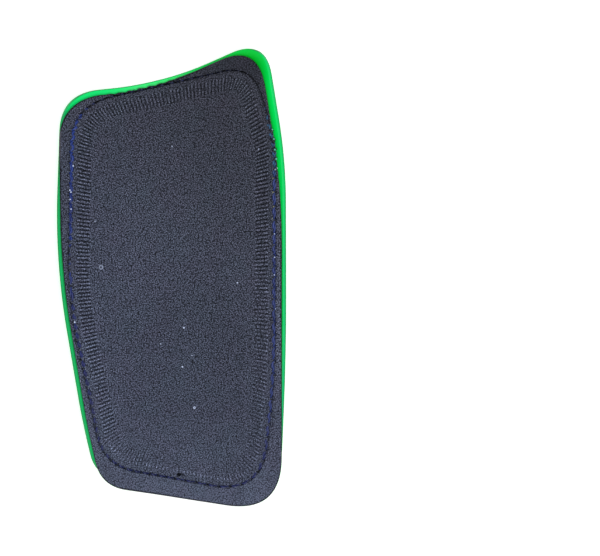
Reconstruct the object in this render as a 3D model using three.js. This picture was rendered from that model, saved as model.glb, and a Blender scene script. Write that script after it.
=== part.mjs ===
// A soccer shin guard: a moulded plastic shell shaped as a shallow trough, lined with a moulded foam pad
// that has a ribbed border. It lies on the front of the shell with the hollow for the shin up.
// Millimetres. +X is to the right as it lies, +Y runs to the knee end and +Z is up, out of the hollow.
// The origin is under the middle of the guard, on the surface that it lies on.

import * as THREE from 'three';

// The trough: a flat strip runs down the front, and the flanks are arcs on both sides of it.
const CROWN_FLAT = 12; // width of the flat strip
const CROWN_MIDDLE = 1.2; // x of the strip's middle line at y = 0
const CROWN_LEAN = -0.055; // how far that line moves in x for each mm of y
const FLANK_RADIUS = 57; // radius of the flanks at y = 0
const FLANK_TAPER = 0.06; // growth of the radius for each mm towards the knee end
const FLANK_EASE = 0.0003; // how the radius falls off towards both ends
const STRAIGHT_HALF = 45; // the strip is straight from -45 to 45, and both ends lift
const END_LIFT = 3; // lift at the ends of the guard
const HALF_LENGTH = 100;

// Thicknesses
const SHELL_THICK = 2;
const RIM_EASE = 0.4; // rounding of the shell's rim
const PAD_GAP = 0.3; // clearance between shell and pad

// Outlines seen from above. Each side starts at its own corner and may bend on its way to the next one;
// round is how far along the sides a corner's rounding reaches. The sides run counterclockwise.
const SHELL_OUTLINE = {
  bottom: [{ x: -33.6, y: -86.3, round: 9.1 }],
  right: [
    { x: 47.5, y: -98.3, round: 24.7 },
    { x: 50.3, y: -31.8, round: 26.2 },
    { x: 50.1, y: 51.3, round: 18.5 },
  ],
  top: [
    { x: 41.3, y: 104.8, round: 16.1 },
    { x: -4.1, y: 85.4, round: 23.1 },
  ],
  left: [
    { x: -48.8, y: 80.7, round: 16.6 },
    { x: -51.2, y: 7.3, round: 31.3 },
    { x: -39.1, y: -64, round: 13.1 },
  ],
};
const PAD_OUTLINE = {
  bottom: [{ x: -30.9, y: -91, round: 10.8 }],
  right: [
    { x: 48.1, y: -103.3, round: 25.3 },
    { x: 48.1, y: 40.8, round: 26.7 },
  ],
  top: [
    { x: 37.5, y: 102.9, round: 19.3 },
    { x: -5.2, y: 83.4, round: 23.9 },
  ],
  left: [
    { x: -49.5, y: 77.7, round: 19.5 },
    { x: -48.1, y: 2.1, round: 25.4 },
    { x: -36.8, y: -65.2, round: 7.3 },
  ],
};
const SEAM_OUTLINE = {
  bottom: [{ x: -29.4, y: -82, round: 14.4 }],
  right: [
    { x: 38.9, y: -94.7, round: 22.3 },
    { x: 44.7, y: -43.2, round: 19.5 },
    { x: 45, y: 58.1, round: 7.8 },
  ],
  top: [{ x: 34.9, y: 93.3, round: 14 }],
  left: [
    { x: -43.6, y: 75.4, round: 18.5 },
    { x: -44.6, y: -10.1, round: 19 },
  ],
};

// The pad's relief. The flange rows lie between the pad's edge and the seam, at a share of the way.
const FLANGE_ROWS = [
  { share: 0, height: 1.9 },
  { share: 0.14, height: 2.7 },
  { share: 0.42, height: 3.2 },
  { share: 0.78, height: 3.1 },
  { share: 1, height: 2.3 },
];
// Inside the seam each row is a line parallel to it: inset is the distance from the seam, and heights are
// measured from the back of the pad. A ribbed row runs over crests and down into grooves.
const BORDER_ROWS = [
  { inset: 1, height: 3.2 },
  { inset: 3.3, height: 3.7 },
  { inset: 3.9, height: 4.2, groove: 0.8 },
  { inset: 8.4, height: 4.8, groove: 0.8 },
  { inset: 9.1, height: 4.9 },
];
const PANEL_RISE = 0.3; // how much the middle panel crowns over its border
const PAD_EDGE_LEAN = 0.3; // the pad's back is this much smaller than its widest line

// The middle of every face is a plain four-sided field, this far inside the seam.
const FIELD_INSET = 18;
const FIELD_STEPS = { bottom: 16, right: 34, top: 16, left: 34 };
const RIM_STRIPS = 3; // strips of faces between an outline and the field
const RIB_LINES = 5; // lines across the ribs for each step, on crests and in grooves by turns

const SIDES = ['bottom', 'right', 'top', 'left'];
const LEAST_ROUND = 1.5;

// Shape of the trough

const crownX = (y) => CROWN_MIDDLE + CROWN_LEAN * y;
const flankRadius = (y) => FLANK_RADIUS + FLANK_TAPER * y - FLANK_EASE * y * y;

function lift(y) {
  const past = Math.max(Math.abs(y) - STRAIGHT_HALF, 0) / (HALF_LENGTH - STRAIGHT_HALF);
  return END_LIFT * past * past;
}

// The point straight above plan point p that lies depth inside the shell's front surface.
function abovePlan(p, depth) {
  const radius = flankRadius(p.y);
  const along = Math.max(Math.abs(p.x - crownX(p.y)) - CROWN_FLAT / 2, 0);
  const z = lift(p.y) + radius - Math.sqrt((radius - depth) ** 2 - along ** 2);
  return new THREE.Vector3(p.x, p.y, z);
}

// The point reached from plan point p of the front surface by going depth in, square to the flank.
function alongNormal(p, depth) {
  const offset = p.x - crownX(p.y);
  const along = Math.max(Math.abs(offset) - CROWN_FLAT / 2, 0);
  const inward = Math.sign(offset) * depth * (along / flankRadius(p.y));
  return abovePlan(new THREE.Vector2(p.x - inward, p.y), depth);
}

// Outlines

const between = (a, b, share) => a.clone().lerp(b, share);
const leftOf = (d) => new THREE.Vector2(-d.y, d.x);

// The rounded bends of an outline moved inwards by inset.
function bends(outline, inset) {
  const rows = SIDES.flatMap((side) => outline[side].map((row, k) => ({ ...row, corner: k === 0 })));
  const points = rows.map((row) => new THREE.Vector2(row.x, row.y));
  return rows.map((row, i) => {
    const into = points[i].clone().sub(points.at(i - 1)).normalize();
    const out = points[(i + 1) % points.length].clone().sub(points[i]).normalize();
    const turn = Math.atan2(into.cross(out), into.dot(out));
    const shift = leftOf(into).add(leftOf(out)).multiplyScalar(inset / (1 + into.dot(out)));
    const tip = points[i].clone().add(shift);
    const round = Math.max(row.round - inset * Math.tan(turn / 2), LEAST_ROUND);
    const start = tip.clone().addScaledVector(into, -round);
    const end = tip.clone().addScaledVector(out, round);
    const middle = between(start, end, 0.5).lerp(tip, 0.5);
    return { start, tip, end, middle, corner: row.corner };
  });
}

// One side, from the middle of its corner's rounding to the middle of the next corner's.
function sidePath(list, first) {
  const path = new THREE.CurvePath();
  let bend = list[first];
  path.add(new THREE.QuadraticBezierCurve(bend.middle, between(bend.tip, bend.end, 0.5), bend.end));
  for (let k = first + 1; ; k += 1) {
    const next = list[k % list.length];
    path.add(new THREE.LineCurve(bend.end, next.start));
    if (next.corner) {
      path.add(new THREE.QuadraticBezierCurve(next.start, between(next.start, next.tip, 0.5), next.middle));
      return path;
    }
    path.add(new THREE.QuadraticBezierCurve(next.start, next.tip, next.end));
    bend = next;
  }
}

// Evenly spaced plan points round an outline, lines of them for each step of the field.
function ringOf(outline, inset = 0, lines = 1) {
  const list = bends(outline, inset);
  const corners = list.flatMap((bend, i) => (bend.corner ? [i] : []));
  return corners.flatMap((first, s) => {
    const points = sidePath(list, first).getSpacedPoints(FIELD_STEPS[SIDES[s]] * lines);
    return points.slice(0, -1);
  });
}

const blend = (ring, other, share) => ring.map((p, i) => between(p, other[i], share));

// The field: a four-sided net of plan points and the ring of its border.
function fieldNet() {
  const sharp = Object.fromEntries(SIDES.map((side) => [side, [SEAM_OUTLINE[side][0]]]));
  const [lowLeft, lowRight, highRight, highLeft] = bends(sharp, FIELD_INSET).map((bend) => bend.tip);
  const across = FIELD_STEPS.bottom;
  const up = FIELD_STEPS.right;
  const rows = [];
  for (let j = 0; j <= up; j += 1) {
    const from = between(lowLeft, highLeft, j / up);
    const to = between(lowRight, highRight, j / up);
    rows.push(Array.from({ length: across + 1 }, (_, i) => between(from, to, i / across)));
  }
  const right = rows.map((row) => row[across]);
  const left = rows.map((row) => row[0]).reverse();
  const top = [...rows[up]].reverse();
  const border = [rows[0], right, top, left].flatMap((side) => side.slice(0, -1));
  return { rows, border };
}

const FIELD = fieldNet();

// A closed skin of triangles, grown ring by ring

class Skin {
  points = [];
  faces = [];

  add(points) {
    const first = this.points.length;
    this.points.push(...points);
    return points.map((_, i) => first + i);
  }

  // Fills the strip between an outer and an inner ring, which may have different numbers of points.
  strip(outer, inner, facesUp) {
    let a = 0;
    let b = 0;
    while (a < outer.length || b < inner.length) {
      const stepOuter = (a + 1) * inner.length <= (b + 1) * outer.length;
      const ends = [outer[a % outer.length], inner[b % inner.length]];
      const next = stepOuter ? outer[(a + 1) % outer.length] : inner[(b + 1) % inner.length];
      this.triangle([ends[0], next, ends[1]], facesUp);
      a += stepOuter ? 1 : 0;
      b += stepOuter ? 0 : 1;
    }
  }

  triangle(corners, facesUp) {
    this.faces.push(...(facesUp ? corners : [...corners].reverse()));
  }

  // Fills the field; its border points are those of the ring that was added last.
  field(border, place, facesUp) {
    const known = new Map(FIELD.border.map((p, i) => [p, border[i]]));
    const rows = FIELD.rows.map((row) => row.map((p) => known.get(p) ?? this.add([place(p)])[0]));
    for (let j = 1; j < rows.length; j += 1) {
      for (let i = 1; i < rows[j].length; i += 1) {
        const corners = [rows[j - 1][i - 1], rows[j - 1][i], rows[j][i], rows[j][i - 1]];
        this.triangle([corners[0], corners[1], corners[2]], facesUp);
        this.triangle([corners[0], corners[2], corners[3]], facesUp);
      }
    }
  }

  geometry() {
    const geometry = new THREE.BufferGeometry();
    geometry.setFromPoints(this.points);
    geometry.setIndex(this.faces);
    geometry.computeVertexNormals();
    return geometry;
  }
}

// Closes a skin from one of its rings to the field, in even strips.
function fillInside(skin, ring, plan, place, facesUp) {
  let outer = ring;
  for (let k = 1; k <= RIM_STRIPS; k += 1) {
    const inner = skin.add(blend(plan, FIELD.border, k / RIM_STRIPS).map(place));
    skin.strip(outer, inner, facesUp);
    outer = inner;
  }
  skin.field(outer, place, facesUp);
}

// Pieces

function shell() {
  const skin = new Skin();
  const full = ringOf(SHELL_OUTLINE);
  const eased = ringOf(SHELL_OUTLINE, RIM_EASE);
  const onFront = (p) => alongNormal(p, 0);
  const onBack = (p) => alongNormal(p, SHELL_THICK);
  const front = skin.add(eased.map(onFront));
  const low = skin.add(full.map((p) => alongNormal(p, RIM_EASE)));
  const high = skin.add(full.map((p) => alongNormal(p, SHELL_THICK - RIM_EASE)));
  const back = skin.add(eased.map(onBack));
  skin.strip(low, front, false);
  skin.strip(low, high, true);
  skin.strip(high, back, true);
  fillInside(skin, front, eased, onFront, false);
  fillInside(skin, back, eased, onBack, true);
  return skin.geometry();
}

function foamPad() {
  const skin = new Skin();
  const backDepth = SHELL_THICK + PAD_GAP;
  const raised = (height) => (p) => abovePlan(p, backDepth + height);
  const edgePlan = ringOf(PAD_OUTLINE);
  const seamPlan = ringOf(SEAM_OUTLINE);
  const backPlan = ringOf(PAD_OUTLINE, PAD_EDGE_LEAN);
  const back = skin.add(backPlan.map(raised(0)));
  fillInside(skin, back, backPlan, raised(0), false);
  let outer = back;
  let plan = backPlan;
  for (const row of FLANGE_ROWS) {
    plan = blend(edgePlan, seamPlan, row.share);
    const inner = skin.add(plan.map(raised(row.height)));
    skin.strip(outer, inner, true);
    outer = inner;
  }
  for (const row of BORDER_ROWS) {
    plan = ringOf(SEAM_OUTLINE, row.inset, row.groove ? RIB_LINES : 1);
    const heightAt = (i) => row.height - (row.groove && i % 2 ? row.groove : 0);
    const inner = skin.add(plan.map((p, i) => raised(heightAt(i))(p)));
    skin.strip(outer, inner, true);
    outer = inner;
  }
  const panel = raised(BORDER_ROWS.at(-1).height + PANEL_RISE);
  fillInside(skin, outer, plan, panel, true);
  return skin.geometry();
}

function piece(name, geometry, finish) {
  const mesh = new THREE.Mesh(geometry, new THREE.MeshStandardMaterial(finish));
  mesh.name = name;
  return mesh;
}

const guard = new THREE.Group();
guard.add(piece('shell', shell(), { color: 0x12d65a, roughness: 0.35, metalness: 0 }));
guard.add(piece('foam_pad', foamPad(), { color: 0x43464f, roughness: 0.95, metalness: 0 }));

export default guard;
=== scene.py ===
import math
from collections import namedtuple
from functools import partial

import bpy
import numpy as np
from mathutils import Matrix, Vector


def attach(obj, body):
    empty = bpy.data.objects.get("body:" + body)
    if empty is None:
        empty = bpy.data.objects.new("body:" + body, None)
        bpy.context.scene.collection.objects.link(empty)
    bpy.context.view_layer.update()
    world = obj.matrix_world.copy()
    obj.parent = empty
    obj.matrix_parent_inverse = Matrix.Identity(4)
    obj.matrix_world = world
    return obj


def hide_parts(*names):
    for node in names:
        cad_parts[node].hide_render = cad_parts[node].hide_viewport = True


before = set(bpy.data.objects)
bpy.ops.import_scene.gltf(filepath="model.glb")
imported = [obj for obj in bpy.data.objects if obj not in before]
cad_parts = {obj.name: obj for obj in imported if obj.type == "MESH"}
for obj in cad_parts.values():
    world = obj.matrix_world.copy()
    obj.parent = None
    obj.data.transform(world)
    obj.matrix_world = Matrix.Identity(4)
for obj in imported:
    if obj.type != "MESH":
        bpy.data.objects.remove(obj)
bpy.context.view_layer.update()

# A soccer shin guard lying on its front: a green plastic shell and the foam pad sewn into it.
# Lengths are in millimetres until a mesh is made, and MM turns them into metres.

MM = 0.001

# The photograph's frame, and where the guard lies in it
PHOTO_WIDTH = 600
PHOTO_HEIGHT = 556
GUARD_PIXELS = 457
GUARD_LENGTH = 200.0
GUARD_CENTRE = (172.0, 278.0)
PIXEL = GUARD_LENGTH / GUARD_PIXELS

# The trough of the shell, as in the solids
CROWN_FLAT = 12.0
CROWN_MIDDLE = 1.2
CROWN_LEAN = -0.055
FLANK_RADIUS = 57.0
FLANK_TAPER = 0.06
FLANK_EASE = 0.0003
STRAIGHT_HALF = 45.0
END_LIFT = 3.0
HALF_LENGTH = 100.0

# Thicknesses
SHELL_THICK = 2.0
RIM_ROUND = 0.45
RIM_POINTS = 5
RIM_LINE = 1.0
PAD_GAP = 0.3
PAD_BACK = SHELL_THICK + PAD_GAP

# How steep a flank may be with the painted shade on its rim all through, and from where on only the rim's
# front part has it
STEEP_RIM = (0.2, 0.55)

# Outlines seen from above, as in the solids: each side starts at its corner and may bend on its way
Bend = namedtuple("Bend", "x y round")
SHELL_OUTLINE = {
    "bottom": [Bend(-33.6, -86.3, 9.1)],
    "right": [Bend(47.5, -98.3, 24.7), Bend(50.3, -31.8, 26.2), Bend(50.1, 51.3, 18.5)],
    "top": [Bend(41.3, 104.8, 16.1), Bend(-4.1, 85.4, 23.1)],
    "left": [Bend(-48.8, 80.7, 16.6), Bend(-51.2, 7.3, 31.3), Bend(-39.1, -64, 13.1)],
}
PAD_OUTLINE = {
    "bottom": [Bend(-30.9, -91, 10.8)],
    "right": [Bend(48.1, -103.3, 25.3), Bend(48.1, 40.8, 26.7)],
    "top": [Bend(37.5, 102.9, 19.3), Bend(-5.2, 83.4, 23.9)],
    "left": [Bend(-49.5, 77.7, 19.5), Bend(-48.1, 2.1, 25.4), Bend(-36.8, -65.2, 7.3)],
}
SEAM_OUTLINE = {
    "bottom": [Bend(-29.4, -82, 14.4)],
    "right": [Bend(38.9, -94.7, 22.3), Bend(44.7, -43.2, 19.5), Bend(45, 58.1, 7.8)],
    "top": [Bend(34.9, 93.3, 14)],
    "left": [Bend(-43.6, 75.4, 18.5), Bend(-44.6, -10.1, 19)],
}
SIDES = ("bottom", "right", "top", "left")
LEAST_ROUND = 1.5
ROUND_POINTS = 25
FIELD_INSET = 18.0
FIELD_STEPS = {"bottom": 16, "right": 34, "top": 16, "left": 34}

# Lines for each step of the field, and strips of faces round it, on the pad and on the shell
PAD_LINES = 4
PANEL_STRIPS = 6
BACK_STRIPS = 6
SHELL_LINES = 4
SHELL_STRIPS = 10

# Ribs along each side of the seam, and the points for each rib: at the ribs and seam, the edge, the back
RIBS = {"bottom": 40, "right": 104, "top": 46, "left": 92}
FINE = 8
MEDIUM = 4
COARSE = 2
RIB_FAN = 0.5

# The pad's relief. Heights are above the back of the pad, insets are distances inside the seam.
EDGE_HEIGHT = 1.9
FLANGE_HEIGHT = 3.2
EDGE_ROUND = 1.4
EDGE_STEPS = (0.0, 0.06, 0.18, 0.38, 0.66, 1.0, 1.4)
MIDDLE_STEPS = (1 / 3, 2 / 3)
SEAM_STEPS = (1.2, 0.9, 0.6, 0.3)
SEAM_INSETS = (0.0, 0.3, 0.6, 0.9, 1.2, 1.6, 2.0, 2.35)
BAND_INSETS = (2.6, 2.85, 3.1, 3.5, 4.0, 4.8, 5.6, 6.4, 7.2, 7.8, 8.2, 8.5, 8.8, 9.2)
BORDER_PROFILE = ((0.0, 3.2), (2.0, 3.3), (2.8, 3.7), (3.6, 4.2), (8.4, 4.8), (9.2, 4.95))
PANEL_START = BAND_INSETS[-1] + 0.5
PANEL_RISE = 0.3
SEAM_DEPTH = 0.35
SUNK_DEPTH = 0.8
SUNK_THREAD = 0.8

# How far the edge is drawn in at a needle hole, the gap to the seam at which that starts and is whole, and
# the least gap that is reckoned with
SCALLOP = 0.35
SCALLOP_FAR = 2.2
SCALLOP_NEAR = 0.9
LEAST_GAP = 0.1

# How far inside the shell's rim the pad's edge starts to count as over the shell, and counts wholly
OVER_SHELL = (0.3, 1.0)

# Bands of painted shade along the edge, the free edge's also with a pale painted highlight on top, by the
# distance from it: where each is whole and where it is gone, and its share on the side wall
CUT_BAND = (0.35, 0.9)
SHADE_BAND = (0.4, 0.9)
SIDE_SHARE = 0.4

# One stitch before it is stretched to its place: its length, the share of that on each side of its middle,
# the points along it, how far it may turn askew in radians, and the sides of each of its plies
STITCH_LENGTH = 5.0
STITCH_HALF = 0.49
STITCH_POINTS = 9
STITCH_SKEW = 0.07
PLY_SIDES = 5

# The thread on both faces: its radius, how high a stitch rises and how far its ends dive from there
Thread = namedtuple("Thread", "radius rise dive")
FOAM_THREAD = Thread(0.6, 0.3, 1.5)
FRONT_THREAD = Thread(0.4, 0.1, 0.5)

# How much the stitches on the foam turn from facing square off the flank to facing straight up, and how far
# out the run on the front lies, as a share of going through the guard square to the flank
FACING_UP = 1.5
FRONT_SPREAD = 0.3

# Needle holes along the seam, in its order: how many stitches lead to each from the one before,
# which share of their length shows, how far the thread has sunk into the foam at the hole, and how broad
# those stitches lie
Hole = namedtuple("Hole", "photo_x photo_y stitches shown sunk broad", defaults=(1.0,))
HOLES = (
    Hole(110.5, 460.5, 5, 0.95, 0.75),
    Hole(175.0, 475.5, 8, 0.95, 0.85),
    Hole(262.5, 449.0, 10, 0.95, 0.3),
    Hole(275.3, 373.0, 6, 0.98, 0.1),
    Hole(276.5, 309.0, 5, 0.98, 0.0),
    Hole(274.8, 234.0, 7, 0.98, 0.0),
    Hole(275.0, 178.0, 4, 0.97, 0.0),
    Hole(268.0, 122.0, 6, 0.85, 0.5),
    Hole(252.0, 77.0, 5, 0.85, 1.7),
    Hole(215.0, 73.5, 4, 0.9, 1.7),
    Hole(165.0, 84.0, 5, 0.9, 1.25),
    Hole(95.0, 101.0, 7, 0.9, 1.5),
    Hole(77.5, 120.0, 3, 0.95, 0.2),
    Hole(71.5, 163.0, 4, 1.02, 0.0, 1.3),
    Hole(71.5, 234.0, 7, 1.02, 0.0, 1.05),
    Hole(71.2, 242.0, 1, 0.8, 0.3),
    Hole(71.0, 251.5, 1, 0.75, 0.8),
    Hole(70.8, 269.5, 2, 0.7, 0.6),
    Hole(71.7, 285.5, 1, 0.97, 0.0),
    Hole(73.0, 303.0, 1, 0.93, 0.1),
    Hole(75.2, 322.0, 2, 0.8, 0.4),
    Hole(78.5, 340.0, 2, 0.9, 0.1),
    Hole(87.0, 378.0, 4, 0.85, 0.2),
    Hole(95.0, 416.0, 4, 0.9, 0.5),
)

# Where the ribs are faint: a place in the photograph, how far that reaches, and how much rib is left
Faint = namedtuple("Faint", "photo_x photo_y reach left_over")
FAINT_RIBS = (
    Faint(113, 452, 7.0, 0.1),
    Faint(150, 466, 10.0, 0.5),
    Faint(183, 468, 14.0, 0.15),
    Faint(212, 474, 17.0, 0.3),
    Faint(258, 420, 30.0, 0.42),
    Faint(260, 330, 22.0, 0.6),
    Faint(260, 245, 22.0, 0.86),
    Faint(200, 85, 24.0, 0.72),
    Faint(140, 95, 24.0, 0.72),
    Faint(105, 395, 22.0, 0.78),
)

# The middle of the darker, rubbed part of the foam, in metres
RUBBED_MIDDLE = (0.005, -0.032, 0.009)

# Small holes in the foam near the lower seam
Pit = namedtuple("Pit", "photo_x photo_y half_x half_y depth")
PITS = (
    Pit(179.0, 474.5, 1.3, 0.85, 1.8),
    Pit(182.8, 474.7, 0.6, 0.5, 1.2),
)
PIT_STEEPNESS = 1.5

# Lint and scuffs on the foam, and painted glints on the thread along the seam: size across, which paint and
# how much of it, ring or solid
PAINTS = {
    "white": (0.60, 0.70, 0.95, 1),
    "mint": (0.12, 0.48, 0.36, 1),
    "olive": (0.22, 0.23, 0.16, 1),
    "black": (0.002, 0.002, 0.003, 1),
}
Fleck = namedtuple("Fleck", "photo_x photo_y size paint share ring")
FLECKS = (
    Fleck(237.4, 282.7, 0.85, "white", 0.62, False),
    Fleck(183.9, 327.8, 0.95, "white", 0.62, False),
    Fleck(160.6, 343.9, 0.9, "white", 0.3, False),
    Fleck(192.0, 355.6, 0.7, "white", 0.4, False),
    Fleck(182.4, 366.8, 0.95, "white", 0.6, False),
    Fleck(194.4, 407.7, 1.2, "white", 0.9, True),
    Fleck(172.1, 146.6, 0.8, "white", 0.35, False),
    Fleck(95.4, 221.4, 0.8, "white", 0.35, False),
    Fleck(258.7, 149.2, 0.8, "white", 0.45, False),
    Fleck(101.4, 267.2, 2.4, "white", 0.3, True),
    Fleck(196.8, 313.0, 0.9, "black", 0.9, False),
    Fleck(203.9, 181.9, 0.8, "black", 0.8, False),
    # Painted glints on the thread along the left seam
    Fleck(73.6, 166.2, 0.75, "white", 1.0, False),
    Fleck(70.5, 190.4, 0.75, "white", 1.0, False),
    Fleck(71.5, 192.4, 0.75, "white", 1.0, False),
    Fleck(70.8, 199.6, 0.75, "white", 1.0, False),
    Fleck(71.5, 209.3, 0.75, "white", 1.0, False),
    Fleck(75.4, 322.0, 0.75, "white", 1.0, False),
    # Along the right seam: olive and black marks, and the white ones are painted glints
    Fleck(273.0, 192.5, 0.8, "olive", 0.8, False),
    Fleck(273.7, 207.0, 0.8, "olive", 0.8, False),
    Fleck(272.4, 218.6, 0.7, "olive", 0.7, False),
    Fleck(271.5, 217.5, 0.7, "black", 0.9, False),
    Fleck(273.0, 234.0, 0.9, "black", 0.9, False),
    Fleck(273.0, 178.5, 0.7, "olive", 0.6, False),
    Fleck(274.6, 234.0, 0.7, "white", 0.7, False),
    Fleck(273.6, 254.8, 0.7, "black", 0.9, False),
    Fleck(274.8, 257.4, 0.7, "white", 0.7, False),
    Fleck(274.5, 275.0, 0.7, "white", 0.8, False),
    Fleck(275.6, 308.8, 0.7, "white", 0.7, False),
    # Painted glints, mint and white, where the seam runs by the pad's edge at the upper right
    Fleck(271.3, 121.0, 0.7, "mint", 0.8, False),
    Fleck(272.5, 130.0, 0.8, "mint", 0.9, False),
    Fleck(274.0, 139.5, 0.9, "mint", 0.9, False),
    Fleck(275.0, 150.0, 1.0, "mint", 0.9, False),
    Fleck(276.4, 159.3, 1.0, "mint", 0.9, False),
    Fleck(277.8, 168.4, 1.0, "white", 0.8, False),
    Fleck(275.5, 169.8, 0.8, "white", 0.6, False),
)

# How far the floor lies below the shell, so that their faces don't share a plane
FLOOR_DROP = 0.05

# Camera, floor and light, in metres. The guard has the photograph's scale at the scale height.
CAMERA_HEIGHT = 5.0
SCALE_HEIGHT = 0.008
FLOOR_HALF = 4.0
LIGHT_PLACE = (0.12, -0.1, 1.6)
LIGHT_SIZE = 0.9
LIGHT_WATTS = 21.0
WORLD_STRENGTH = 0.55


def from_photo(x, y):
    """The place on the guard, in millimetres, of a pixel of the photograph."""
    return (x - GUARD_CENTRE[0]) * PIXEL, (GUARD_CENTRE[1] - y) * PIXEL


# Shape of the trough


def crown_x(y):
    return CROWN_MIDDLE + CROWN_LEAN * y


def flank_radius(y):
    return FLANK_RADIUS + FLANK_TAPER * y - FLANK_EASE * y * y


def lift(y):
    past = np.maximum(np.abs(y) - STRAIGHT_HALF, 0) / (HALF_LENGTH - STRAIGHT_HALF)
    return END_LIFT * past**2


def flank_reach(plan):
    """How far each plan point lies out on its flank, with the flank's sign."""
    offset = plan[:, 0] - crown_x(plan[:, 1])
    return np.sign(offset) * np.maximum(np.abs(offset) - CROWN_FLAT / 2, 0)


def above_plan(plan, depth):
    """Points straight above plan points that lie depth inside the shell's front surface."""
    y = plan[:, 1]
    radius = flank_radius(y)
    z = lift(y) + radius - np.sqrt((radius - depth) ** 2 - flank_reach(plan) ** 2)
    return np.column_stack([plan, z])


def along_normal(plan, depth):
    """Points reached from plan points of the front surface by going depth in, square to the flank."""
    inward = depth * flank_reach(plan) / flank_radius(plan[:, 1])
    return above_plan(plan - np.column_stack([inward, 0 * inward]), depth)


def face_normal(plan, depth):
    """Which way the surface at that depth faces, towards the leg."""
    slope = -flank_reach(plan) / (flank_radius(plan[:, 1]) - depth)
    return np.column_stack([slope, 0 * slope, np.sqrt(1 - slope**2)])


# Outlines


def unit(v):
    return v / np.linalg.norm(v)


def bends(outline, inset):
    """The rounded bends of an outline moved inwards by inset: start, tip, end, and if it is a corner."""
    rows = [(bend, k == 0) for side in SIDES for k, bend in enumerate(outline[side])]
    points = [np.array([bend.x, bend.y], float) for bend, _ in rows]
    found = []
    for i, (bend, corner) in enumerate(rows):
        into = unit(points[i] - points[i - 1])
        out = unit(points[(i + 1) % len(points)] - points[i])
        turn = math.atan2(into[0] * out[1] - into[1] * out[0], into @ out)
        normals = np.array([-into[1] - out[1], into[0] + out[0]])
        tip = points[i] + normals * inset / (1 + into @ out)
        reach = max(bend.round - inset * math.tan(turn / 2), LEAST_ROUND)
        found.append((tip - into * reach, tip, tip + out * reach, corner))
    return found


def rounding(start, tip, end):
    """Points along the rounding of a bend."""
    t = np.linspace(0, 1, ROUND_POINTS)[:, None]
    return (1 - t) ** 2 * start + 2 * t * (1 - t) * tip + t * t * end


def times(steps, lines):
    return {side: steps[side] * lines for side in SIDES}


def ring(outline, inset, counts):
    """Evenly spaced plan points round an outline, with a count for each side."""
    found = bends(outline, inset)
    corners = [i for i, bend in enumerate(found) if bend[3]]
    half = ROUND_POINTS // 2
    points = []
    for side, first, last in zip(SIDES, corners, corners[1:] + [corners[0] + len(found)]):
        arcs = [rounding(*found[k % len(found)][:3]) for k in range(first, last + 1)]
        arcs[0] = arcs[0][half:]
        arcs[-1] = arcs[-1][:half + 1]
        path = np.concatenate(arcs)
        steps = np.linalg.norm(np.diff(path, axis=0), axis=1)
        length = np.concatenate([[0], np.cumsum(steps)])
        wanted = np.linspace(0, length[-1], counts[side] + 1)[:-1]
        points.append(np.column_stack([np.interp(wanted, length, path[:, k]) for k in (0, 1)]))
    return np.concatenate(points)


def turns_round(counts):
    """How far round a ring the point after each of its points lies, in sides."""
    turns = [k + np.arange(1, counts[side] + 1) / counts[side] for k, side in enumerate(SIDES)]
    return np.concatenate(turns)


def field_net(lines):
    """The plain four-sided field in the middle of a face, as rows of plan points."""
    sharp = {side: [outline_side[0]] for side, outline_side in SEAM_OUTLINE.items()}
    low_left, low_right, high_right, high_left = [bend[1] for bend in bends(sharp, FIELD_INSET)]
    up = np.linspace(0, 1, FIELD_STEPS["right"] * lines + 1)[:, None, None]
    across = np.linspace(0, 1, FIELD_STEPS["bottom"] * lines + 1)[None, :, None]
    left_edge = low_left + (high_left - low_left) * up
    right_edge = low_right + (high_right - low_right) * up
    return left_edge + (right_edge - left_edge) * across


def net_border(net):
    """The border of a net in the order of a ring."""
    sides = (net[0, :-1], net[:-1, -1], net[-1, :0:-1], net[:0:-1, 0])
    return np.concatenate(sides)


# Meshes grown ring by ring


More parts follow.
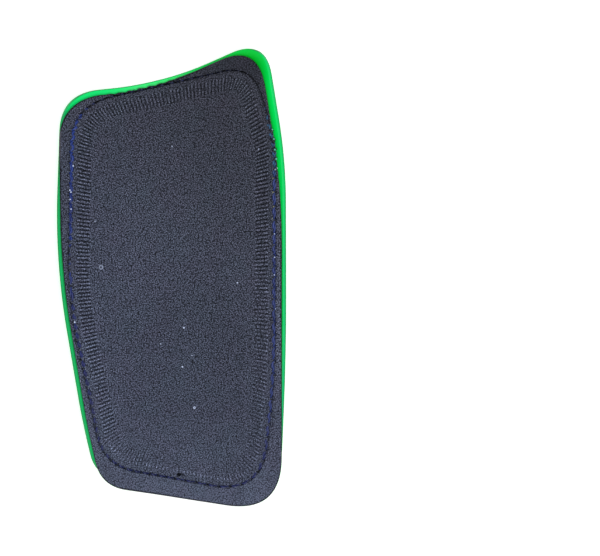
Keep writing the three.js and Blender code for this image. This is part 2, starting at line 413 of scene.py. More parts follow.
class Skin:
    """A closed skin of faces, with named values on its points."""

    def __init__(self, *value_names):
        self.points = []
        self.faces = []
        self.count = 0
        self.values = {name: [] for name in value_names}

    def add(self, points, **values):
        for name, kept in self.values.items():
            kept.append(np.broadcast_to(values.get(name, 0.0), len(points)))
        self.points.append(points)
        self.count += len(points)
        return np.arange(self.count - len(points), self.count)

    def face(self, corners, faces_up):
        self.faces.append(tuple(corners) if faces_up else tuple(corners[::-1]))

    def strip(self, outer, inner, faces_up, turns=None):
        """Fills the strip between two rings, with triangles where their counts differ."""
        if len(outer) == len(inner):
            for quad in zip(outer, np.roll(outer, -1), np.roll(inner, -1), inner):
                self.face(quad, faces_up)
            return
        even = [np.arange(1, len(ends) + 1) / len(ends) for ends in (outer, inner)]
        outer_turn, inner_turn = [np.append(turn, np.inf) for turn in turns or even]
        a = b = 0
        while a < len(outer) or b < len(inner):
            here = (outer[a % len(outer)], inner[b % len(inner)])
            if outer_turn[a] <= inner_turn[b]:
                a += 1
                self.face((here[0], outer[a % len(outer)], here[1]), faces_up)
            else:
                b += 1
                self.face((here[0], inner[b % len(inner)], here[1]), faces_up)

    def fill(self, outer, plan, net, strips, place, faces_up, turns=None, **values):
        """Closes the skin from a ring to the field in its middle, in even strips."""
        border = net_border(net)
        for k in range(1, strips):
            between = plan + (border - plan) * k / strips
            inner = self.add(place(between), **values)
            self.strip(outer, inner, faces_up, turns)
            outer = inner
        rows, columns = net.shape[:2]
        grid = self.add(place(net.reshape(-1, 2)), **values).reshape(rows, columns)
        self.strip(outer, net_border(grid[..., None])[:, 0], faces_up)
        for j in range(rows - 1):
            for quad in zip(grid[j, :-1], grid[j, 1:], grid[j + 1, 1:], grid[j + 1, :-1]):
                self.face(quad, faces_up)

    def to_object(self, name):
        mesh = bpy.data.meshes.new(name)
        mesh.from_pydata(np.concatenate(self.points) * MM, [], self.faces)
        for value_name, kept in self.values.items():
            layer = mesh.attributes.new(value_name, "FLOAT", "POINT")
            layer.data.foreach_set("value", np.concatenate(kept).astype(np.float32))
        mesh.shade_smooth()
        return new_object(name, mesh)


def new_object(name, data):
    made = bpy.data.objects.new(name, data)
    bpy.context.scene.collection.objects.link(made)
    return made


# Node trees written as expressions


class Wire:
    """A socket of a node tree. Arithmetic on it adds Math nodes to the tree."""

    def __init__(self, tree, socket=None):
        self.tree = tree
        self.socket = socket

    def node(self, kind, settings=None, inputs=None, output=0):
        """Adds a node to the tree, sets it up, feeds its sockets, and gives one of its outputs."""
        made = self.tree.nodes.new(kind)
        for name, value in (settings or {}).items():
            setattr(made, name, value)
        for key, value in (inputs or {}).items():
            if isinstance(value, Wire):
                self.tree.links.new(value.socket, made.inputs[key])
            else:
                made.inputs[key].default_value = value
        return Wire(self.tree, made.outputs[output] if len(made.outputs) else None)

    def math(self, operation, *others):
        return self.node("ShaderNodeMath", {"operation": operation}, dict(enumerate((self, *others))))

    def __add__(self, other):
        return self.math("ADD", other)

    def __sub__(self, other):
        return self.math("SUBTRACT", other)

    def __mul__(self, other):
        return self.math("MULTIPLY", other)

    def __truediv__(self, other):
        return self.math("DIVIDE", other)

    def __pow__(self, other):
        return self.math("POWER", other)

    def __abs__(self):
        return self.math("ABSOLUTE")

    def reflected(self, operation, other):
        return self.node("ShaderNodeMath", {"operation": operation}, {0: other, 1: self})

    def __radd__(self, other):
        return self + other

    def __rsub__(self, other):
        return self.reflected("SUBTRACT", other)

    def __rmul__(self, other):
        return self * other

    def __rtruediv__(self, other):
        return self.reflected("DIVIDE", other)

    def __rpow__(self, other):
        return self.reflected("POWER", other)

    def attribute(self, name):
        """A named value on the points of the piece."""
        return self.node("ShaderNodeAttribute", {"attribute_name": name}, output="Fac")

    def axis(self, name):
        """One of these coordinates."""
        return self.node("ShaderNodeSeparateXYZ", None, {0: self}, name)

    def distance(self, spot):
        """How far these coordinates lie from a spot."""
        return self.node("ShaderNodeVectorMath", {"operation": "DISTANCE"}, {0: self, 1: spot}, "Value")

    def bump(self, strength, distance):
        """The normal of a surface that has this height on it."""
        inputs = {"Strength": strength, "Distance": distance, "Height": self}
        return self.node("ShaderNodeBump", None, inputs)

    def smooth(self, low, high):
        """0 below low, 1 above high, and an easy slope between them."""
        ends = {"Value": self, 1: low, 2: high}
        return self.node("ShaderNodeMapRange", {"interpolation_type": "SMOOTHSTEP"}, ends)

    def mix(self, first, second):
        """The first colour where this is 0, the second where it is 1."""
        colours = {0: self, 6: first, 7: second}  # the node's colours are its sockets 6 and 7, and output 2
        return self.node("ShaderNodeMix", {"data_type": "RGBA"}, colours, 2)

    def noise(self, scale, detail=2.0, roughness=0.5):
        """Noise over these coordinates, from about -0.5 to 0.5."""
        inputs = {"Vector": self, "Scale": scale, "Detail": detail, "Roughness": roughness}
        return self.node("ShaderNodeTexNoise", None, inputs) - 0.5

    def dots(self, scale, start):
        """Small dots strewn in plan: 0.5 in the middle of each, and about -0.3 between them."""
        moved = self.node("ShaderNodeVectorMath", None, {0: self, 1: start})
        inputs = {"Vector": moved, "Scale": scale}
        return 0.5 - self.node("ShaderNodeTexVoronoi", {"voronoi_dimensions": "2D"}, inputs)


class GeometryTree:
    """A Geometry Nodes tree with named inputs, run once on an object."""

    def __init__(self, name):
        self.tree = bpy.data.node_groups.new(name, "GeometryNodeTree")
        self.tree.interface.new_socket("Geometry", in_out="INPUT", socket_type="NodeSocketGeometry")
        self.tree.interface.new_socket("Geometry", in_out="OUTPUT", socket_type="NodeSocketGeometry")
        self.start = Wire(self.tree)
        self.entry = self.tree.nodes.new("NodeGroupInput")
        self.values = {}

    def input(self, name, value, kind="NodeSocketFloat"):
        socket = self.tree.interface.new_socket(name, in_out="INPUT", socket_type=kind)
        self.values[socket.identifier] = value
        return Wire(self.tree, self.entry.outputs[name])

    def geometry(self):
        return Wire(self.tree, self.entry.outputs["Geometry"])

    def attribute(self, name, kind="FLOAT"):
        return self.start.node("GeometryNodeInputNamedAttribute", {"data_type": kind}, {"Name": name})

    def run(self, geometry, guide, finish):
        """Ends the tree, runs it on the guide object and leaves a plain mesh there."""
        realized = geometry.node("GeometryNodeRealizeInstances", None, {"Geometry": geometry})
        painted = realized.node("GeometryNodeSetMaterial", None, {"Geometry": realized, "Material": finish})
        leave = self.tree.nodes.new("NodeGroupOutput")
        self.tree.links.new(painted.socket, leave.inputs[0])
        modifier = guide.modifiers.new(self.tree.name, "NODES")
        modifier.node_group = self.tree
        for identifier, value in self.values.items():
            modifier[identifier] = value
        graph = bpy.context.evaluated_depsgraph_get()
        made = bpy.data.meshes.new_from_object(guide.evaluated_get(graph), depsgraph=graph)
        guide.modifiers.remove(modifier)
        guide.data = made
        made.name = guide.name
        made.shade_smooth()
        return guide


# Finishes


def new_finish(name, **fixed):
    """A material with its Principled sockets set, and the wire that its nodes grow from."""
    finish = bpy.data.materials.new(name)
    finish.use_nodes = True
    shader = finish.node_tree.nodes["Principled BSDF"]
    for socket, value in fixed.items():
        shader.inputs[socket.replace("_", " ")].default_value = value
    return finish, shader, Wire(finish.node_tree)


def feed(shader, **wires):
    for socket, wire in wires.items():
        wire.tree.links.new(wire.socket, shader.inputs[socket.replace("_", " ")])


def green_plastic():
    finish, shader, start = new_finish("green_plastic", Roughness=0.36, Specular_IOR_Level=0.12)
    place = start.node("ShaderNodeTexCoord", output="Object")
    rim = start.attribute("rim")
    edge = start.attribute("edge")
    front = start.attribute("front")
    rim_light = start.attribute("rim_light")
    shade = (place.noise(35.0, 3.0) * 0.8 + 0.5).smooth(0.0, 1.0)
    across = place.axis("X")
    up = place.axis("Y")
    deep = (across + shade * 0.01).smooth(-0.03, 0.045) * (1 - front) + front * (shade * 0.3 + 0.2)
    left_green = (0.004, 0.70, 0.152, 1)
    colour = deep.mix(left_green, (0.0005, 0.70, 0.036, 1))
    # Painted light: a brighter, bluer green on the rim's rows, fading into the inner face
    colour = rim_light.mix(colour, deep.mix(left_green, (0.001, 0.86, 0.115, 1)))
    # Painted shade: a darker green at the top corner of the inner face, on the right
    top_corner_shade = up.smooth(0.080, 0.098) * deep * (1 - front)
    colour = (top_corner_shade * 0.6).mix(colour, (0.0, 0.30, 0.004, 1))
    # Painted shade and light on the rim's edge face: a darker, bluer green than the inner face, darkest on
    # the left and lighter towards the top on the right
    edge_right = up.smooth(-0.01, 0.05).mix((0.004, 0.46, 0.135, 1), (0.001, 0.52, 0.115, 1))
    colour = edge.mix(colour, deep.mix((0.003, 0.40, 0.100, 1), edge_right))
    # Painted shade: a dark green line along the rim's outer rounding, reaching over the edge face where the
    # flank is not steep
    colour = (rim * 0.9).mix(colour, (0.0, 0.12, 0.025, 1))
    scuffs = place.noise(900.0, 4.0, 0.7)
    feed(shader, Base_Color=colour, Roughness=scuffs * 0.12 + 0.36, Normal=scuffs.bump(0.12, 0.0001))
    return finish


def flecked(place, colour, shown=1.0):
    """A colour with the lint, scuffs and painted glints on it, where they are shown."""
    flat = place.node("ShaderNodeVectorMath", {"operation": "MULTIPLY"}, {0: place, 1: (1, 1, 0)})
    for fleck in FLECKS:
        x, y = from_photo(fleck.photo_x, fleck.photo_y)
        away = flat.distance((x * MM, y * MM, 0))
        half = fleck.size / 2 * MM
        mask = 1 - away.smooth(half * 0.6, half)
        if fleck.ring:
            mask = mask * away.smooth(half * 0.3, half * 0.6)
        colour = (mask * fleck.share * shown).mix(colour, PAINTS[fleck.paint])
    return colour


def slate_foam():
    finish, shader, start = new_finish("slate_foam", Roughness=0.92, Specular_IOR_Level=0.1)
    place = start.node("ShaderNodeTexCoord", output="Object")
    value = {
        name: start.attribute(name)
        for name in ("pressed", "crest", "cut_edge", "edge_shade", "from_seam", "on_face", "down_wall")
    }
    down = value["down_wall"] * (0.7 * MM)
    slant = start.node("ShaderNodeCombineXYZ", None, {"X": down, "Y": down})
    laid = place.node("ShaderNodeVectorMath", None, {0: place, 1: slant})
    grain = laid.dots(1630.0, (0.4, 0.3, 0)) + laid.dots(1810.0, (-0.7, 0.5, 0))
    mottle = place.noise(260.0, 3.0, 0.6)
    cloud = place.noise(34.0, 2.0)

    across = place.axis("X")
    up = place.axis("Y")
    # Painted shade: the foam darker and greyer towards the top right
    up_right_shade = (up + across * 0.95 + cloud * 0.04).smooth(-0.1, 0.14)
    colour = up_right_shade.mix((0.051, 0.059, 0.091, 1), (0.027, 0.029, 0.040, 1))
    tint = (place.noise(75.0, 4.0, 0.7) * 2.0 + 0.5).mix((1.05, 0.97, 1.0, 1), (0.95, 1.03, 1.0, 1))
    colour = colour.node("ShaderNodeVectorMath", {"operation": "MULTIPLY"}, {0: colour, 1: tint})
    outside = 1 - value["from_seam"].smooth(-1.0, -0.2)
    shaded = (up + across).smooth(0.05, 0.13)
    low = 1 - up.smooth(-0.07, -0.03)
    bottom = outside * (1 - up.smooth(-0.09, -0.075))
    coarse = 1.05 - low * 0.17 - bottom * 0.2 - shaded * (outside * 0.15 + 0.15)
    level = (14.0**grain / 2.2) ** coarse * (mottle * 0.7 + cloud * 0.33 + 1.23)
    rubbed = place.distance(RUBBED_MIDDLE)
    level = level * (0.82 + rubbed.smooth(0.015, 0.045) * 0.18)
    # Painted highlight on the rib crests, and painted shade in the grooves, needle holes and pits
    level = level * (value["crest"] + 1.0) * (1 - value["pressed"] * 0.93)
    high = up.smooth(0.03, 0.06)
    # Painted shade along the pad's edge: the free edge darker, and the edge over the shell darker still
    level = level * (1 - value["cut_edge"] * 0.75) * (1 - value["edge_shade"] * (0.85 - shaded * 0.6))
    # The flange outside the seam is a little lighter; the extra light on the right and the low sides and
    # the darkening at the top right are painted light and shade
    right = across.smooth(0.036, 0.046) * up.smooth(-0.06, -0.02)
    low_sides = abs(across).smooth(0.029, 0.034) * (1 - up.smooth(-0.05, -0.03))
    level = level * (outside * (0.08 + right * 0.88 + low_sides * 0.2 - shaded * 0.32) + 1.0)
    lit = across.smooth(0.018, 0.032) * up.smooth(-0.04, 0.01)
    dim = across.smooth(-0.025, -0.01) * (1 - up.smooth(-0.06, -0.045))
    level = level * ((lit * 0.15 - dim * 0.11) * (1 - outside) + 1.0)
    colour = colour.node("ShaderNodeVectorMath", {"operation": "SCALE"}, {0: colour, "Scale": level})
    # Painted highlight: a pale line along the top of the free edge, towards the top
    pale = value["cut_edge"] * value["on_face"] ** 3.0 * high * (mottle + 0.7)
    colour = pale.mix(colour, (0.105, 0.104, 0.125, 1))
    pores = grain * 0.5 + mottle * 0.3
    colour = flecked(place, colour, value["on_face"])
    feed(shader, Base_Color=colour, Roughness=grain * 0.1 + 0.9, Normal=pores.bump(0.5, 0.0002))
    return finish


def blue_thread():
    finish, shader, start = new_finish("blue_thread", Roughness=0.5, Specular_IOR_Level=0.4)
    place = start.node("ShaderNodeTexCoord", output="Object")
    fibre = place.noise(2600.0, 3.0, 0.7)
    stretch = place.noise(120.0, 2.0)
    across = place.axis("X")
    up = place.axis("Y")
    # The thread a brighter royal blue towards the upper left, and a darker navy on the left than on the
    # right
    up_left_share = (up - across * 0.8 + stretch * 0.08).smooth(-0.02, 0.1)
    side_blue = across.smooth(-0.03, 0.0).mix((0.013, 0.018, 0.11, 1), (0.022, 0.040, 0.175, 1))
    bright = up_left_share.mix(side_blue, (0.009, 0.034, 0.22, 1))
    # Painted shade: dark navy where the thread sinks into its groove along the bottom
    bright = up.smooth(-0.085, -0.045).mix((0.014, 0.020, 0.10, 1), bright)
    # Painted reflection: the thread a bluer green where it runs by the green shell at the upper right
    green_bounce = across.smooth(0.038, 0.042) * up.smooth(0.042, 0.05)
    bright = green_bounce.mix(bright, (0.016, 0.085, 0.180, 1))
    # Painted shade: dark navy where the thread sinks into its groove along the top
    bright = up.smooth(0.070, 0.078).mix(bright, (0.010, 0.016, 0.065, 1))
    tone = (fibre * 1.2 + stretch * 0.8 + 0.6).smooth(0.0, 0.9)
    colour = tone.mix((0.004, 0.008, 0.05, 1), bright)
    feed(shader, Base_Color=flecked(place, colour), Normal=fibre.bump(0.4, 0.0001))
    return finish


def pale_floor():
    glow = {"Emission_Color": (1, 1, 1, 1), "Emission_Strength": 0.35}
    finish, shader, start = new_finish("pale_floor", Roughness=0.9, Specular_IOR_Level=0.0, **glow)
    place = start.node("ShaderNodeTexCoord", output="Object")
    shade = (place.noise(3.0) + 0.5).smooth(0.0, 1.0)
    feed(shader, Base_Color=shade.mix((0.93, 0.93, 0.93, 1), (0.95, 0.95, 0.95, 1)))
    return finish


# Pieces


def make_shell(finish):
    """The moulded shell, with a rounded rim."""
    skin = Skin("rim", "edge", "front", "rim_light")
    net = field_net(SHELL_LINES)
    turns = np.linspace(0, math.pi / 2, RIM_POINTS)
    eased = RIM_ROUND * (1 - np.sin(turns))
    raised = RIM_ROUND * (1 - np.cos(turns))
    rows = list(zip(eased, raised)) + [(0, RIM_LINE)] + list(zip(eased[::-1], SHELL_THICK - raised[::-1]))
    plans = [ring(SHELL_OUTLINE, inset, times(FIELD_STEPS, SHELL_LINES)) for inset, _ in rows]
    rings = []
    for plan, (inset, depth) in zip(plans, rows):
        along = np.roll(plan, -1, axis=0) - np.roll(plan, 1, axis=0)
        sideways = np.abs(along[:, 1]) / np.linalg.norm(along, axis=1)
        steep = sideways * np.abs(flank_reach(plan)) / flank_radius(plan[:, 1])
        upright = 1 - ease(steep, *STEEP_RIM)
        # The rim's painted shade: on the front rounding, and also over the edge face and back rounding
        # where the flank is not steep
        rim = (1 - inset / RIM_ROUND) * np.maximum(1 - ease(depth, RIM_ROUND, RIM_LINE), upright)
        face = {"edge": 1 - inset / RIM_ROUND, "front": float(depth == 0), "rim_light": float(depth > 0)}
        rings.append(skin.add(along_normal(plan, depth), rim=rim, **face))
    for outer, inner in zip(rings, rings[1:]):
        skin.strip(outer, inner, True)
    for k, depth, faces_up in ((0, 0, False), (-1, SHELL_THICK, True)):
        place = partial(along_normal, depth=depth)
        skin.fill(rings[k], plans[k], net, SHELL_STRIPS, place, faces_up, front=float(depth == 0))
    shell = skin.to_object("moulded_shell")
    shell.data.materials.append(finish)
    return shell


def rib_strength(plan):
    """How much of the ribs is left at each plan point."""
    strength = np.ones(len(plan))
    for faint in FAINT_RIBS:
        away = np.linalg.norm(plan - from_photo(faint.photo_x, faint.photo_y), axis=1)
        near = np.exp(-((away / faint.reach) ** 2))
        strength *= 1 - (1 - faint.left_over) * near
    return strength


def pit_depth(plan):
    """How deep the small holes are at each plan point."""
    depth = np.zeros(len(plan))
    for pit in PITS:
        away = (plan - from_photo(pit.photo_x, pit.photo_y)) / (pit.half_x, pit.half_y)
        depth += pit.depth * np.clip(PIT_STEEPNESS * (1 - np.linalg.norm(away, axis=1)), 0, 1)
    return depth


def ease(value, low, high):
    """0 below low, 1 above high, and an easy slope between them."""
    share = np.clip((value - low) / (high - low), 0, 1)
    return share * share * (3 - 2 * share)


class Loop:
    """A closed line in plan, and where other points lie beside it."""

    def __init__(self, outline, lines):
        self.outline = outline
        self.counts = times(RIBS, lines)
        self.plan = ring(outline, 0.0, self.counts)
        steps = np.roll(self.plan, -1, axis=0) - self.plan
        sizes = np.linalg.norm(steps, axis=1)
        self.whole = sizes.sum()
        self.along = np.cumsum(sizes) - sizes
        chords = np.roll(self.plan, -1, axis=0) - np.roll(self.plan, 1, axis=0)
        self.tangent = chords / np.linalg.norm(chords, axis=1)[:, None]
        self.inward = np.column_stack([-self.tangent[:, 1], self.tangent[:, 0]])

    def beside(self, plan):
        """For each plan point, the nearest point of the line: its number, length along, distance in."""
        gaps = np.linalg.norm(plan[:, None] - self.plan[None], axis=2)
        near = gaps.argmin(axis=1)
        past = ((plan - self.plan[near]) * self.tangent[near]).sum(axis=1)
        inside = ((plan - self.plan[near]) * self.inward[near]).sum(axis=1)
        return near, self.along[near] + past, inside


class Seam(Loop):
    """The sewn line round the pad."""

    def __init__(self, lines):
        super().__init__(SEAM_OUTLINE, lines)
        places = np.array([from_photo(hole.photo_x, hole.photo_y) for hole in HOLES])
        holes = self.beside(places)[1]
        self.start = holes[0]
        self.hole_along = np.append((holes - self.start) % self.whole, self.whole)
        self.hole_turn = np.cumsum([0] + [hole.stitches for hole in HOLES[1:] + HOLES[:1]])
        self.hole_sunk = [hole.sunk for hole in HOLES + HOLES[:1]]

    def stitch_turn(self, along):
        """How many stitches lead to a place along the seam, whole at the needle holes."""
        return np.interp((along - self.start) % self.whole, self.hole_along, self.hole_turn)

    def stitch_length(self, along):
        span = np.searchsorted(self.hole_along, (along - self.start) % self.whole, "right") - 1
        lengths = np.diff(self.hole_along) / np.diff(self.hole_turn)
        return lengths[np.minimum(span, len(lengths) - 1)]

    def stitches(self):
        """The seam point in the middle of each stitch, and the sizes of the stitches."""
        middles = np.arange(self.hole_turn[-1]) + 0.5
        along = (np.interp(middles, self.hole_turn, self.hole_along) + self.start) % self.whole
        ends = HOLES[1:] + HOLES[:1]
        shown = np.repeat([hole.shown for hole in ends], np.diff(self.hole_turn))
        broad = np.repeat([hole.broad for hole in ends], np.diff(self.hole_turn))
        middle = np.searchsorted(self.along, along) - 1
        arch = 1 - 0.6 * ease(shown, 0.95, 1.0)
        sizes = {
            "stitch_length": self.stitch_length(along) * shown,
            "stitch_breadth": broad,
            "stitch_arch": arch,
        }
        return middle, sizes

    def sunk(self):
        """How far the thread has sunk at each point of the seam."""
        return np.interp((self.along - self.start) % self.whole, self.hole_along, self.hole_sunk)

    def inside(self, inset):
        """Plan points that lie inset inside the seam, on lines that fan a little towards the middle."""
        square = self.plan + inset * self.inward
        fanned = ring(self.outline, inset, self.counts)
        return square + (fanned - square) * RIB_FAN


def scalloped(edge, seam):
    """The edge of the pad, drawn in at each needle hole where the seam runs close to it."""
    near, along, inside = seam.beside(edge)
    gap = np.maximum(-inside, LEAST_GAP)
    at_hole = 0.5 + 0.5 * np.cos(2 * math.pi * seam.stitch_turn(along))
    pull = SCALLOP * at_hole * (1 - ease(gap, SCALLOP_NEAR, SCALLOP_FAR))
    return edge + seam.inward[near] * np.minimum(pull, gap / 2)[:, None]


def foam_base():
    """The pad without its fine relief, with the values on its points that the relief follows."""
    skin = Skin(
        "from_seam", "rib_turn", "rib_strength", "stitch_turn", "stitch_length", "sunk", "pit",
        "cut_edge", "edge_shade", "on_face", "down_wall",
    )
    seam = Seam(FINE)
    edge = scalloped(ring(PAD_OUTLINE, 0.0, seam.counts), seam)
    rim = Loop(SHELL_OUTLINE, FINE)
    on_shell = ease(rim.beside(edge)[2], *OVER_SHELL)
    net = field_net(PAD_LINES)
    field_counts = times(FIELD_STEPS, PAD_LINES)
    slack = np.linalg.norm(edge - seam.plan, axis=1)

    back_counts = times(RIBS, COARSE)
    behind = {"from_seam": -FIELD_INSET, "down_wall": EDGE_HEIGHT}
    back = skin.add(above_plan(ring(PAD_OUTLINE, 2 * PAD_GAP, back_counts), PAD_BACK), **behind)
    back_plan = ring(PAD_OUTLINE, 2 * PAD_GAP, field_counts)
    turns = (turns_round(back_counts), turns_round(field_counts))
    place = partial(above_plan, depth=PAD_BACK)
    skin.fill(back, back_plan, net, BACK_STRIPS, place, False, turns, **behind)

    def row(plan, height, inset, lines, from_edge=FIELD_INSET):
        near, along, inside = seam.beside(plan)
        pit = pit_depth(plan)
        values = {
            "from_seam": inside if inset is None else np.full(len(plan), inset),
            "rib_turn": np.arange(len(plan)) / FINE,
            "rib_strength": rib_strength(plan),
            "stitch_turn": seam.stitch_turn(along),
            "stitch_length": seam.stitch_length(along),
            "sunk": seam.sunk()[near],
            "pit": np.minimum(pit, 1),
            "cut_edge": (1 - on_shell) * (1 - ease(from_edge, *CUT_BAND)),
            "edge_shade": on_shell * (1 - ease(from_edge, *SHADE_BAND)),
        }
        every = FINE // lines
        kept = {name: value[::every] for name, value in values.items()}
        return skin.add(above_plan(plan, PAD_BACK + height - pit)[::every], on_face=1.0, **kept)

    skip = FINE // MEDIUM
    side = {
        "from_seam": -slack[::skip],
        "cut_edge": SIDE_SHARE * (1 - on_shell)[::skip],
        "edge_shade": SIDE_SHARE * on_shell[::skip],
        "down_wall": EDGE_HEIGHT / 2,
    }
    outer = skin.add(above_plan(edge, PAD_BACK + EDGE_HEIGHT / 2)[::skip], **side)
    skin.strip(back, outer, True)
    from_edge = [step / np.maximum(slack, 2 * EDGE_STEPS[-1]) for step in EDGE_STEPS]
    to_seam = [1 - step / np.maximum(slack, 2 * SEAM_STEPS[0]) for step in SEAM_STEPS]
    between = [from_edge[-1] + (to_seam[0] - from_edge[-1]) * step for step in MIDDLE_STEPS]
    for lines, shares in ((MEDIUM, from_edge + between), (FINE, to_seam)):
        for share in shares:
            past = np.minimum(share * slack / np.minimum(EDGE_ROUND, slack / 2), 1)
            height = EDGE_HEIGHT + (FLANGE_HEIGHT - EDGE_HEIGHT) * np.sqrt(1 - (1 - past) ** 2)
            plan = edge + (seam.plan - edge) * share[:, None]
            inner = row(plan, height, None, lines, share * slack)
            skin.strip(outer, inner, True)
            outer = inner
    for inset in SEAM_INSETS + BAND_INSETS:
        height = np.interp(inset, *zip(*BORDER_PROFILE))
        inner = row(seam.inside(inset), height, inset, FINE)
        skin.strip(outer, inner, True)
        outer = inner
    border_top = BORDER_PROFILE[-1][1]
    inner = row(seam.inside(PANEL_START), border_top + PANEL_RISE / 3, PANEL_START, MEDIUM)
    skin.strip(outer, inner, True)
    panel_plan = ring(SEAM_OUTLINE, PANEL_START, field_counts)
    turns = (turns_round(times(RIBS, MEDIUM)), turns_round(field_counts))
    place = partial(above_plan, depth=PAD_BACK + border_top + PANEL_RISE)
    on_panel = {"from_seam": FIELD_INSET, "on_face": 1.0}
    skin.fill(inner, panel_plan, net, PANEL_STRIPS, place, True, turns, **on_panel)
    return skin.to_object("moulded_foam_pad")


def press_foam(base, finish):
    """Presses the ribs, the sewn groove and the needle holes into the pad."""
    tree = GeometryTree("pressed_relief")
    rib_depth = tree.input("Rib Groove Depth", 0.75 * MM)
    rib_groove = tree.input("Rib Groove Half Share", 0.25)
    band_start = tree.input("Band Start", 2.6)
    band_end = tree.input("Band End", 8.8)
    seam_depth = tree.input("Seam Depth", SEAM_DEPTH * MM)
    sunk_depth = tree.input("Sunk Seam Depth", SUNK_DEPTH * MM)
    seam_half = tree.input("Seam Half Width", 1.1)
    needle_depth = tree.input("Needle Hole Depth", 0.8 * MM)
    needle_half = tree.input("Needle Hole Radius", 0.6)
    pull_depth = tree.input("Pull Depth", 0.3 * MM)
    swell_height = tree.input("Swell", 0.3 * MM)

    place = tree.start.node("GeometryNodeInputPosition")
    inset = tree.attribute("from_seam")
    face = tree.attribute("on_face")
    sunk = tree.attribute("sunk")
    wobble = place.noise(330.0, 2.0)
    turn = tree.attribute("rib_turn") + wobble * 0.18
    from_groove = abs(turn.math("FRACT") - 0.5)
    groove = 1 - from_groove.smooth(0.02, rib_groove)
    band = inset.smooth(band_start, band_start + 0.4) * (1 - inset.smooth(band_end - 0.5, band_end))
    uneven = place.noise(420.0, 2.0) * 0.7 + 1.0
    kept = tree.attribute("rib_strength")
    ribs = groove * band * kept * uneven
    outer_end = band * (1 - inset.smooth(3.6, 4.2))
    # Painted highlight on the rib crests, and on the ribs' outer ends where the ribs are faint
    crest = from_groove.smooth(rib_groove, 0.5) * uneven * (band * kept + outer_end * (1 - kept) * 1.8)

    seam = 1 - abs(inset).smooth(0.0, seam_half * (1 - sunk * 0.4))
    stitch_turn = tree.attribute("stitch_turn")
    stitch_length = tree.attribute("stitch_length")
    along = (0.5 - abs(stitch_turn.math("FRACT") - 0.5)) * stitch_length
    away = (along * along + inset * inset).math("SQRT")
    hole = 1 - away.smooth(needle_half * 0.3, needle_half)
    pull = 1 - away.smooth(0.0, 2.4)
    half_way = abs((stitch_turn * 2.0).math("FRACT") - 0.5) * stitch_length * 0.5
    pinch_away = (half_way * half_way + inset * inset * 2.5).math("SQRT")
    pinch = (1 - pinch_away.smooth(0.2, 0.75)) * sunk
    swell = place.noise(45.0, 2.0) * face
    offset = swell * swell_height - ribs * rib_depth
    furrow = seam * (seam_depth + (sunk_depth - seam_depth) * sunk)
    offset = offset - (furrow + (hole + pinch * 0.5) * needle_depth + pull * pull_depth) * face

    normal = tree.start.node("GeometryNodeInputNormal")
    push = normal.node("ShaderNodeVectorMath", {"operation": "SCALE"}, {0: normal, "Scale": offset})
    shaped = tree.start.node("GeometryNodeSetPosition", None, {"Geometry": tree.geometry(), "Offset": push})
    # Painted shade in the recesses: the rib grooves, the sewn groove, the needle holes and the small pits
    pressed = ribs * 0.9
    for dent in (seam * (sunk * 0.65 + 0.15), hole, pinch, tree.attribute("pit")):
        pressed = pressed.math("MAXIMUM", dent)
    for name, value in (("pressed", pressed), ("crest", crest)):
        stored = {"Geometry": shaped, "Name": name, "Value": value}
        shaped = shaped.node("GeometryNodeStoreNamedAttribute", {"domain": "POINT"}, stored)
    return tree.run(shaped, base, finish)


def seam_guide(name, line, facing, middles, sizes):
    """The middles of the stitches on a line, with which way each faces and heads, and its sizes."""
    mesh = bpy.data.meshes.new(name)
    mesh.from_pydata(line[middles] * MM, [], [])
    heading = np.roll(line, -1, axis=0) - np.roll(line, 1, axis=0)
    for value_name, vectors in (("facing", facing), ("heading", heading)):
        layer = mesh.attributes.new(value_name, "FLOAT_VECTOR", "POINT")
        layer.data.foreach_set("vector", vectors[middles].astype(np.float32).ravel())
    for value_name, values in sizes.items():
        layer = mesh.attributes.new(value_name, "FLOAT", "POINT")
        layer.data.foreach_set("value", values.astype(np.float32))
    return new_object(name, mesh)


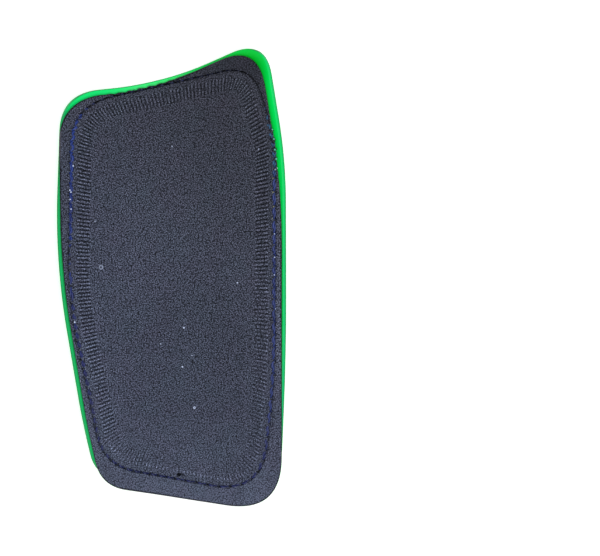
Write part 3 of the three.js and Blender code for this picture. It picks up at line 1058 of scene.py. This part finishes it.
def sew(guide, finish, size):
    """Two-ply stitches on the points of a guide, each diving into the surface at both ends."""
    tree = GeometryTree(guide.name + "_run")
    stitch = tree.input("Stitch Length", STITCH_LENGTH * MM)
    ply = tree.input("Ply Radius", size.radius * 0.56 * MM)
    spread = tree.input("Ply Offset", size.radius * 0.5 * MM)
    top = tree.input("Rise", size.rise * MM)
    drop = tree.input("Dive", size.dive * MM)
    twist = tree.input("Twist", 1.7 * math.pi)
    flat = tree.input("Flattening", 1.7)
    seed = tree.input("Seed", 7, "NodeSocketInt")

    left = tree.start.node("ShaderNodeCombineXYZ", None, {"X": stitch * -STITCH_HALF})
    right = tree.start.node("ShaderNodeCombineXYZ", None, {"X": stitch * STITCH_HALF})
    line = tree.start.node("GeometryNodeCurvePrimitiveLine", None, {"Start": left, "End": right})
    line = line.node("GeometryNodeResampleCurve", None, {"Curve": line, "Count": STITCH_POINTS})
    share = tree.start.node("GeometryNodeSplineParameter")
    out = abs(share * 2.0 - 1.0)
    height = top - drop * out**2.5
    shift = tree.start.node("ShaderNodeCombineXYZ", None, {"Z": height})
    line = line.node("GeometryNodeSetPosition", None, {"Geometry": line, "Offset": shift})
    line = line.node("GeometryNodeSetCurveTilt", None, {"Curve": line, "Tilt": share * twist})
    plies = []
    for side in (1.0, -1.0):
        round_ply = {"Resolution": PLY_SIDES, "Radius": ply}
        circle = tree.start.node("GeometryNodeCurvePrimitiveCircle", None, round_ply)
        aside = tree.start.node("ShaderNodeCombineXYZ", None, {"X": spread * side})
        moved = {"Geometry": circle, "Translation": aside}
        plies.append(circle.node("GeometryNodeTransform", None, moved))
    section = plies[0].node("GeometryNodeJoinGeometry", None, {"Geometry": plies[0]})
    tree.tree.links.new(plies[1].socket, section.socket.node.inputs[0])
    slim = 1.0 - out**4.0 * 0.35
    tube = {"Curve": line, "Profile Curve": section, "Scale": slim, "Fill Caps": True}
    thread = line.node("GeometryNodeCurveToMesh", None, tube)

    heading = tree.attribute("heading", "FLOAT_VECTOR")
    facing = tree.attribute("facing", "FLOAT_VECTOR")
    turned = heading.node("FunctionNodeAlignRotationToVector", {"axis": "X"}, {"Vector": heading})
    upright = {"Rotation": turned, "Vector": facing}
    turned = turned.node("FunctionNodeAlignRotationToVector", {"axis": "Z", "pivot_axis": "X"}, upright)
    spin = {2: -STITCH_SKEW, 3: STITCH_SKEW, "Seed": seed}
    skew = tree.start.node("FunctionNodeRandomValue", {"data_type": "FLOAT"}, spin, 1)
    about = tree.start.node("ShaderNodeCombineXYZ", None, {"Z": skew})
    about = about.node("FunctionNodeEulerToRotation", None, {"Euler": about})
    both = {"Rotation": turned, "Rotate By": about}
    turned = turned.node("FunctionNodeRotateRotation", {"rotation_space": "LOCAL"}, both)
    longer = tree.attribute("stitch_length") / STITCH_LENGTH
    broader = flat * tree.attribute("stitch_breadth")
    arch = tree.attribute("stitch_arch")
    scale = tree.start.node("ShaderNodeCombineXYZ", None, {"X": longer, "Y": broader, "Z": arch})
    points = tree.start.node("GeometryNodeMeshToPoints", None, {"Mesh": tree.geometry()})
    placed = {"Points": points, "Instance": thread, "Rotation": turned, "Scale": scale}
    return tree.run(points.node("GeometryNodeInstanceOnPoints", None, placed), guide, finish)


def make_stitching(finish):
    """The blue lockstitch: one run on the foam, and one on the front of the shell."""
    seam = Seam(FINE)
    middles, sizes = seam.stitches()
    depth = PAD_BACK + FLANGE_HEIGHT - SEAM_DEPTH
    line = above_plan(seam.plan, depth - SUNK_THREAD * seam.sunk())
    upright = face_normal(seam.plan, depth) + (0, 0, FACING_UP)
    inner = seam_guide("seam_on_foam", line, upright, middles, sizes)
    sew(inner, finish, FOAM_THREAD)

    outward = flank_reach(seam.plan) / (flank_radius(seam.plan[:, 1]) - depth)
    spread = FRONT_SPREAD * depth * outward
    front = seam.plan + np.column_stack([spread, 0 * spread])
    outer = seam_guide("seam_on_front", above_plan(front, 0), -face_normal(front, 0), middles, sizes)
    sew(outer, finish, FRONT_THREAD)
    return inner, outer


def make_camera():
    """Straight above, with a long lens, so that the guard lies where the photograph has it."""
    data = bpy.data.cameras.new("camera")
    frame_width = PHOTO_WIDTH * PIXEL * MM
    data.lens = data.sensor_width * (CAMERA_HEIGHT - SCALE_HEIGHT) / frame_width
    camera = new_object("camera", data)
    x, y = from_photo(PHOTO_WIDTH / 2, PHOTO_HEIGHT / 2)
    camera.location = (x * MM, y * MM, CAMERA_HEIGHT)
    bpy.context.scene.camera = camera


def make_light():
    """One large round light box overhead, which faces the guard."""
    data = bpy.data.lights.new("overhead_box", "AREA")
    data.shape = "DISK"
    data.size = LIGHT_SIZE
    data.energy = LIGHT_WATTS
    light = new_object("overhead_box", data)
    light.location = LIGHT_PLACE
    light.visible_camera = False
    aim = -Vector(LIGHT_PLACE)
    light.rotation_euler = aim.to_track_quat("-Z", "Y").to_euler()


def make_stage():
    """A pale floor and soft studio light."""
    mesh = bpy.data.meshes.new("floor")
    signs = [(-1, -1), (1, -1), (1, 1), (-1, 1)]
    corners = [(x * FLOOR_HALF, y * FLOOR_HALF, -FLOOR_DROP * MM) for x, y in signs]
    mesh.from_pydata(corners, [], [(0, 1, 2, 3)])
    mesh.materials.append(pale_floor())
    new_object("floor", mesh)
    world = bpy.data.worlds.new("studio")
    world.use_nodes = True
    background = world.node_tree.nodes["Background"]
    background.inputs["Color"].default_value = (1, 1, 1, 1)
    background.inputs["Strength"].default_value = WORLD_STRENGTH
    bpy.context.scene.world = world
    make_light()
    bpy.context.scene.view_settings.view_transform = "Standard"


make_camera()
make_stage()

shell = make_shell(green_plastic())
foam_pad = press_foam(foam_base(), slate_foam())
seam_on_foam, seam_on_front = make_stitching(blue_thread())

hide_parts("shell")
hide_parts("foam_pad")
for piece, slot in (
    (shell, "shell_plastic"),
    (foam_pad, "foam"),
    (seam_on_foam, "thread"),
    (seam_on_front, "thread"),
):
    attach(piece, "root")
